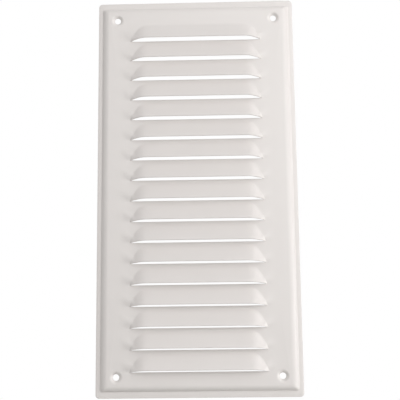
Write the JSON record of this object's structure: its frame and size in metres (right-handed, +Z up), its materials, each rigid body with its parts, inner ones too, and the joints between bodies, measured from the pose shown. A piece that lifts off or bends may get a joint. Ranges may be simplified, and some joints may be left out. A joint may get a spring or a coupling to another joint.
{
  "type": "wall vent grille",
  "caption": "Louvred wall vent cover pressed from sheet metal, with a flat rim, a raised panel and dimpled screw holes.",
  "frame": {"origin": "on the wall, at the centre of the four fixing holes", "axes": "+X across the plate, +Z up (the louvres open downward), -Y out of the wall towards the viewer"},
  "size_m": [0.13, 0.009, 0.26],
  "materials": {
    "paint": "satin white powder coat"
  },
  "bodies": {
    "root": {"face_plate": "paint", "louvre_01": "paint", "louvre_02": "paint", "louvre_03": "paint", "louvre_04": "paint", "louvre_05": "paint", "louvre_06": "paint", "louvre_07": "paint", "louvre_08": "paint", "louvre_09": "paint", "louvre_10": "paint", "louvre_11": "paint", "louvre_12": "paint", "louvre_13": "paint", "louvre_14": "paint", "louvre_15": "paint", "louvre_16": "paint", "louvre_17": "paint"}
  },
  "joints": []
}
